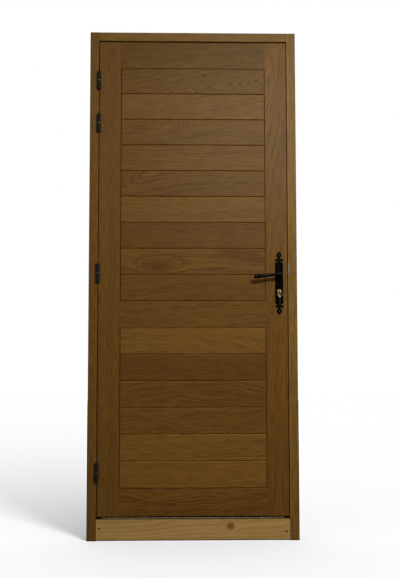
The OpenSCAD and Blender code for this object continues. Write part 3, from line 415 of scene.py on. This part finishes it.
# Hinges: black lift-off hinges with a turned barrel, a brass ring between the knuckles and steel pins.
# One half is screwed to the frame and the other half to the leaf.
blackened, given, result = new_group("Black skin", skin_inputs, skin_outputs)
dents = scaled_noise(blackened, given["Point"], (160.0, 160.0, 160.0), 2.0)
specks = scaled_noise(blackened, given["Point"], (900.0, 900.0, 900.0), 3.0)
link_skin(
    blackened, given, result, math_node(blackened, "MULTIPLY_ADD", dents, 0.25, 1.0),
    math_node(blackened, "MULTIPLY", specks, 0.06), math_node(blackened, "MULTIPLY_ADD", specks, 0.15, dents))
hinge_iron = skin_material(
    "hinge iron", blackened, (0.011, 0.0115, 0.0115), roughness=0.62, metallic=0.0, specular=0.03,
    distance=0.0003)
for number in range(1, 5):
    for half in ("frame_half", "leaf_half"):
        dress(f"hinge_{number}_{half}", hinge_iron, ease=0.0004)
dull_brass = skin_material("dull brass", plated, (0.07, 0.06, 0.028), roughness=0.6)
dress("hinge_rings", dull_brass, ease=0.0003)
zinc = skin_material("zinc plated steel", plated, (0.048, 0.048, 0.045), roughness=0.5)
for name in ("hinge_pins", "hinge_frame_screws", "hinge_leaf_screws"):
    dress(name, zinc)

# Lock: a mortise lock of zinc plated steel in the edge of the lock stile, its strike plate let into the jamb.
# Both are held by screws, and the cylinder with its plugs is turned from brass.
for name in ("strike_plate", "lock_case", "lock_forend", "latch_bolt", "deadbolt", "lock_follower",
             "spindle", "cylinder_cam"):
    dress(name, zinc, ease=0.0003)
for name in ("strike_screws", "lock_screws"):
    dress(name, zinc)
turned_brass = skin_material("turned brass", plated, (0.17, 0.112, 0.033), roughness=0.28)
for name in ("cylinder_body", "inside_plug", "outside_plug"):
    dress(name, turned_brass, ease=0.0003)

# Lever set: black plates with spear finials on both faces, screwed on with dark domed screws.
# Each forged lever leaves a turned neck, thins behind its elbow and swells to a round end with two grooves.
iron_black = (0.0009, 0.0009, 0.0008)
black_iron = skin_material(
    "black iron", blackened, iron_black, roughness=0.36, metallic=0.0, specular=0.008, strength=0.15,
    distance=0.0004)
for name in ("inside_plate", "outside_plate"):
    dress(name, black_iron, ease=0.0006)
dark_nickel = skin_material("dark nickel", plated, (0.022, 0.022, 0.022), roughness=0.16)
dress("plate_screws", dark_nickel, ease=0.0003)
lever_iron = skin_material(
    "lever iron", blackened, iron_black, roughness=0.22, metallic=0.0, specular=0.03, strength=0.03,
    distance=0.0003)


def placed(name, data):
    """A new object in the scene that holds this mesh, curve, lamp or camera."""
    made = bpy.data.objects.new(name, data)
    bpy.context.scene.collection.objects.link(made)
    return made


def ring_points(centre, first, second, squareness=2.0, count=28):
    """Points round a closed ring, between an ellipse at squareness 2 and a rounded box above that."""
    points = []
    for step in range(count):
        turn = 2 * math.pi * step / count
        part_1 = math.copysign(abs(math.cos(turn)) ** (2 / squareness), math.cos(turn))
        part_2 = math.copysign(abs(math.sin(turn)) ** (2 / squareness), math.sin(turn))
        points.append(centre + first * part_1 + second * part_2)
    return points


def smooth_piece(name, strips, material, body, replaced):
    """A smooth mesh through strips of rings, closed at both ends, that stands for a CAD node of a body."""
    mesh = bmesh.new()
    for rings in strips:
        rows = [[mesh.verts.new(point) for point in ring] for ring in rings]
        for row, following in zip(rows, rows[1:]):
            for step in range(len(row)):
                near = step - 1
                mesh.faces.new((row[near], row[step], following[step], following[near]))
        mesh.faces.new(rows[0])
        mesh.faces.new(rows[-1])
    bmesh.ops.recalc_face_normals(mesh, faces=mesh.faces)
    data = bpy.data.meshes.new(name)
    mesh.to_mesh(data)
    mesh.free()
    data.shade_smooth()
    data.materials.append(material)
    made = placed(name, data)
    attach(made, body)
    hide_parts(replaced)


lever_axis = middle("spindle")
lever_droop = math.radians(6)
lever_reach = 0.102
elbow_high, elbow_deep = 0.0095, 0.0060
end_high, end_deep = 0.0092, 0.0050
# Distance from the spindle, half height and half depth of the lever's arm.
arm = [
    (0.0, elbow_high, elbow_deep), (0.005, 0.0093, 0.0059), (0.010, 0.0084, 0.0054), (0.015, 0.0072, 0.0048),
    (0.020, 0.0064, 0.0044), (0.026, 0.0062, 0.0043), (0.036, 0.0065, 0.0043), (0.050, 0.0071, 0.0045),
    (0.066, 0.0079, 0.0047), (0.080, 0.0085, 0.0049),
]
groove_side, groove_floor, groove_deep = 0.0010, 0.0015, 0.0043
for start, before, inside, after in ((0.0845, 0.0087, 0.0079, 0.0088), (0.0915, 0.0090, 0.0081, 0.0091)):
    arm.append((start, before, end_deep))
    arm.append((start + groove_side, inside, groove_deep))
    arm.append((start + groove_side + groove_floor, inside, groove_deep))
    arm.append((start + 2 * groove_side + groove_floor, after, end_deep))
arm.append((lever_reach, end_high, end_deep))
# Distance from the plate and radius of the turned neck.
neck = [
    (0.0002, 0.0098), (0.0030, 0.0098), (0.0038, 0.0092), (0.0042, 0.0079), (0.0100, 0.0072),
    (0.0200, 0.0066), (0.0300, 0.0067), (0.0360, 0.0074), (0.0400, 0.0084), (0.0430, 0.0084),
]
# The elbow and the end are rounded by six rings each, a little squarer than an ellipse.
round_rings = 6
round_step = math.radians(14.3)
elbow_start = math.radians(4)
arm_squareness = 2.4
fullness = 0.6
for name, plate, out in (("inside_lever", "inside_plate", -1), ("outside_lever", "outside_plate", 1)):
    low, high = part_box(name)
    plate_low, plate_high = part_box(plate)
    plate_face = plate_low.y if out < 0 else plate_high.y
    arm_y = low.y + elbow_deep if out < 0 else high.y - elbow_deep
    along = Vector((-math.cos(lever_droop), 0.0, -math.sin(lever_droop)))
    upward = Vector((-math.sin(lever_droop), 0.0, math.cos(lever_droop)))
    inward = Vector((0.0, 1.0, 0.0))
    pivot = Vector((lever_axis.x, arm_y, lever_axis.z))
    rings = []
    for step in range(round_rings):
        turn = elbow_start + round_step * step
        rings.append(ring_points(
            pivot - along * elbow_high * math.cos(turn), upward * elbow_high * math.sin(turn),
            inward * elbow_deep * math.sin(turn) ** fullness, arm_squareness))
    for distance, half_high, half_deep in arm:
        rings.append(ring_points(
            pivot + along * distance, upward * half_high, inward * half_deep, arm_squareness))
    for step in range(1, round_rings + 1):
        turn = round_step * step
        rings.append(ring_points(
            pivot + along * (lever_reach + end_high * math.sin(turn)), upward * end_high * math.cos(turn),
            inward * end_deep * math.cos(turn) ** fullness, arm_squareness))
    turned = [
        ring_points(
            Vector((lever_axis.x, plate_face + out * distance, lever_axis.z)), Vector((radius, 0.0, 0.0)),
            Vector((0.0, 0.0, radius)))
        for distance, radius in neck
    ]
    smooth_piece("forged_" + name, [rings, turned], lever_iron, "handle", name)

# Keys: one in the cylinder, with a spare hanging from it on a split ring, all stamped or coiled from
# nickel plated steel. The blades have cuts along one edge.
worn_nickel = skin_material("worn nickel", plated, (0.10, 0.085, 0.055), roughness=0.32)
key_rim = 0.0002
bow_steps, hole_steps = 40, 24
hole_out = 0.0046
# Depth of each cut as a share of half the blade, and where a cut's floor starts and ends in its room.
cut_depths = (0.30, 0.55, 0.40, 0.65, 0.25)
floor_start, floor_end = 0.35, 0.60


def key_piece(name, replaced, bow_radius, hole_radius, length, half_blade, half_thick, place, along, over):
    """A flat key with a round bow at a place. Its blade points along, and its cuts face over."""
    curve = bpy.data.curves.new(name, "CURVE")
    curve.dimensions = "2D"
    curve.fill_mode = "BOTH"
    curve.extrude = half_thick - key_rim
    curve.bevel_depth = key_rim
    curve.offset = -key_rim
    root = math.asin(half_blade / bow_radius)
    outline = []
    for step in range(bow_steps + 1):
        turn = root + (2 * math.pi - 2 * root) * step / bow_steps
        outline.append((bow_radius * math.cos(turn), bow_radius * math.sin(turn)))
    shoulder = length - half_blade
    outline += [(shoulder, -half_blade), (length, -0.2 * half_blade), (length, 0.1 * half_blade)]
    cut_room = (length - 1.5 * half_blade - bow_radius) / len(cut_depths)
    for count, cut in enumerate(cut_depths):
        start = shoulder - count * cut_room
        outline.append((start, half_blade))
        outline.append((start - floor_start * cut_room, half_blade * (1 - cut)))
        outline.append((start - floor_end * cut_room, half_blade * (1 - cut)))
    outline.append((shoulder - len(cut_depths) * cut_room, half_blade))
    hole = []
    for step in range(hole_steps):
        turn = 2 * math.pi * step / hole_steps
        hole.append((hole_radius * math.cos(turn) - hole_out, hole_radius * math.sin(turn)))
    for points in (outline, hole):
        spline = curve.splines.new("POLY")
        spline.points.add(len(points) - 1)
        spline.use_cyclic_u = True
        for target, point in zip(spline.points, points):
            target.co = (*point, 0.0, 1.0)
    curve.materials.append(worn_nickel)
    made = placed(name, curve)
    turn = Matrix((along, over, along.cross(over))).transposed()
    made.matrix_world = Matrix.Translation(place) @ turn.to_4x4()
    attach(made, "key")
    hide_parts(replaced)


key_low, key_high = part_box("key")
key_middle = middle("key")
key_bow = (key_high.z - key_low.z) / 2
key_piece(
    "cut_key", "key", key_bow, hole_radius=0.0028, length=key_high.y - key_low.y - key_bow, half_blade=0.0040,
    half_thick=(key_high.x - key_low.x) / 2, place=Vector((key_middle.x, key_low.y + key_bow, key_middle.z)),
    along=Vector((0.0, 1.0, 0.0)), over=Vector((0.0, 0.0, 1.0)),
)
spare_low, spare_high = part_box("spare_key")
spare_middle = middle("spare_key")
spare_bow = (spare_high.y - spare_low.y) / 2
key_piece(
    "cut_spare_key", "spare_key", spare_bow, hole_radius=0.0024,
    length=spare_high.z - spare_low.z - spare_bow, half_blade=0.0036,
    half_thick=(spare_high.x - spare_low.x) / 2,
    place=Vector((spare_middle.x, spare_middle.y, spare_high.z - spare_bow)),
    along=Vector((0.0, 0.0, -1.0)), over=Vector((0.0, 1.0, 0.0)),
)
ring_low, ring_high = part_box("key_ring")
ring_middle = middle("key_ring")
wire_radius = 0.00045
ring_radius = (ring_high.z - ring_low.z) / 2 - wire_radius
coil_width = 2.2 * wire_radius
coil_turns, coil_steps = 1.9, 96
coil = bpy.data.curves.new("split ring", "CURVE")
coil.dimensions = "3D"
coil.bevel_depth = wire_radius
coil.bevel_resolution = 3
coil.use_fill_caps = True
spline = coil.splines.new("POLY")
spline.points.add(coil_steps)
for step, target in enumerate(spline.points):
    turn = 2 * math.pi * coil_turns * step / coil_steps
    side = (step / coil_steps - 0.5) * coil_width
    target.co = (
        ring_middle.x + ring_radius * math.sin(turn), ring_middle.y + side,
        ring_middle.z - ring_radius * math.cos(turn), 1.0,
    )
nickel = skin_material("nickel plated steel", plated, (0.20, 0.197, 0.19), roughness=0.24)
coil.materials.append(nickel)
split_ring = placed("split_ring", coil)
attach(split_ring, "key")
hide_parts("key_ring")

# Rebate seal: a black rubber strip in three lengths, on the stops of both jambs and of the head.
# The leaf shuts against it.
rubber = skin_material(
    "black rubber", blackened, (0.005, 0.005, 0.005), roughness=0.6, metallic=0.0, specular=0.1, strength=0.2,
    distance=0.0003)
dress("frame_seal", rubber)

# Brush strip: black bristles in five rows, held in a bar that is let into the bottom edge of the leaf.
# The bristles are uneven in length, lean and thickness.
brush_low, brush_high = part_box("bottom_brush")
rail_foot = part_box("bottom_rail")[0].z
bristle_rows = 5
end_room = 0.001
root_height = rail_foot + 0.001
most_uneven = 0.0024
most_lean = 0.0006
thinnest, thickest = 0.00028, 0.00046
closest, widest = 0.0006, 0.0011
tip_taper = 0.7
picked = random.Random(7)
bristles = []
x = brush_low.x + end_room
while x < brush_high.x - end_room:
    for row in range(bristle_rows):
        root_y = brush_low.y + (row + 0.5) * (brush_high.y - brush_low.y) / bristle_rows
        tip_height = brush_low.z + picked.random() ** 2 * most_uneven
        lean = picked.uniform(-most_lean, most_lean)
        thick = picked.uniform(thinnest, thickest)
        bristles.append([
            ring_points(
                Vector((x + aside, root_y, z)), Vector((half, 0.0, 0.0)), Vector((0.0, half, 0.0)), count=4)
            for z, aside, half in ((root_height, 0.0, thick), (tip_height, lean, tip_taper * thick))
        ])
    x += picked.uniform(closest, widest)
bar_middle = middle("bottom_brush")
bar_foot = rail_foot + 0.0004
bar_squareness = 12.0
half_x = Vector(((brush_high.x - brush_low.x) / 2, 0.0, 0.0))
half_y = Vector((0.0, (brush_high.y - brush_low.y) / 2, 0.0))
bar = [
    ring_points(Vector((bar_middle.x, bar_middle.y, z)), half_x, half_y, bar_squareness)
    for z in (bar_foot, brush_high.z)
]
brush_fibre = skin_material(
    "brush fibre", blackened, (0.008, 0.0055, 0.0035), roughness=0.8, metallic=0.0, specular=0.03)
smooth_piece("bristles", bristles + [bar], brush_fibre, "leaf", "bottom_brush")

# Stage: a pale floor that shows only the shadow on it, and a white ground all round.
# A soft lamp lights the front of the door, a wide one gives metal and oiled wood their sheen, and a third
# lights the far side.
floor_size = 30.0
bpy.ops.mesh.primitive_plane_add(size=floor_size)
floor = bpy.context.object
floor.name = "floor"
pale, _, sockets = new_material("pale floor")
sockets["Base Color"].default_value = (0.45, 0.45, 0.45, 1.0)
sockets["Roughness"].default_value = 0.9
floor.data.materials.append(pale)
floor.is_shadow_catcher = True
floor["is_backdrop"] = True

# The ground is white to the camera, to metal and to glass, and lights the door as a soft grey.
soft_grey, white = (0.26, 0.26, 0.26, 1.0), (1.0, 1.0, 1.0, 1.0)
world = bpy.data.worlds.new("studio")
bpy.context.scene.world = world
world.use_nodes = True
tree = world.node_tree
ray = add(tree, "ShaderNodeLightPath").outputs
mirrored = math_node(tree, "MAXIMUM", ray["Is Glossy Ray"], ray["Is Transmission Ray"])
shown = math_node(tree, "MAXIMUM", ray["Is Camera Ray"], mirrored)
tree.links.new(blended(tree, shown, soft_grey, white), tree.nodes["Background"].inputs["Color"])

lamp_aim = Vector((0.0, 0.0, 1.1))


def area_lamp(name, place, watts, wide, high, colour=(1.0, 1.0, 1.0), sheen=False):
    """A lamp turned to the middle of the door, which lights it or only gives it a sheen."""
    lamp = bpy.data.lights.new(name, "AREA")
    lamp.energy = watts
    lamp.color = colour
    lamp.shape = "RECTANGLE"
    lamp.size = wide
    lamp.size_y = high
    made = placed(name, lamp)
    made.location = place
    made.rotation_euler = (lamp_aim - made.location).to_track_quat("-Z", "Y").to_euler()
    made.visible_camera = False
    made.visible_diffuse = not sheen
    made.visible_glossy = sheen
    return made


area_lamp("soft light", (0.74, -2.10, 1.87), watts=38.0, wide=0.6, high=0.35)
area_lamp("sheen", (0.92, -3.10, 2.60), watts=200.0, wide=2.0, high=1.2, colour=(1.0, 0.97, 0.80), sheen=True)
light_behind = area_lamp("light behind", (-0.60, 1.60, 3.00), watts=44.0, wide=0.8, high=0.6)
not_lit_from_behind = bpy.data.collections.new("not lit from behind")
not_lit_from_behind.objects.link(floor)
not_lit_from_behind.collection_objects[0].light_linking.link_state = "EXCLUDE"
light_behind.light_linking.receiver_collection = not_lit_from_behind

# The camera stands below the middle of the door and looks up a little. Its lens is worked out from the
# distance of the picture plane and the height of the picture, both in pixels.
picture_distance, picture_height = 945.85, 578
pitch, yaw, roll = 0.0795, 0.0234, -0.0013
camera = bpy.data.cameras.new("camera")
camera.sensor_fit = "VERTICAL"
camera.sensor_height = 36.0
camera.lens = camera.sensor_height * picture_distance / picture_height
camera_object = placed("camera", camera)
camera_object.location = (-0.0639, -4.0, 0.7256)
ahead = Vector((math.sin(yaw) * math.cos(pitch), math.cos(yaw) * math.cos(pitch), math.sin(pitch)))
facing = ahead.to_track_quat("-Z", "Y").to_matrix()
camera_object.rotation_euler = (facing @ Matrix.Rotation(roll, 3, "Z")).to_euler()
bpy.context.scene.camera = camera_object
bpy.context.scene.view_settings.view_transform = "Standard"

low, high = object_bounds()
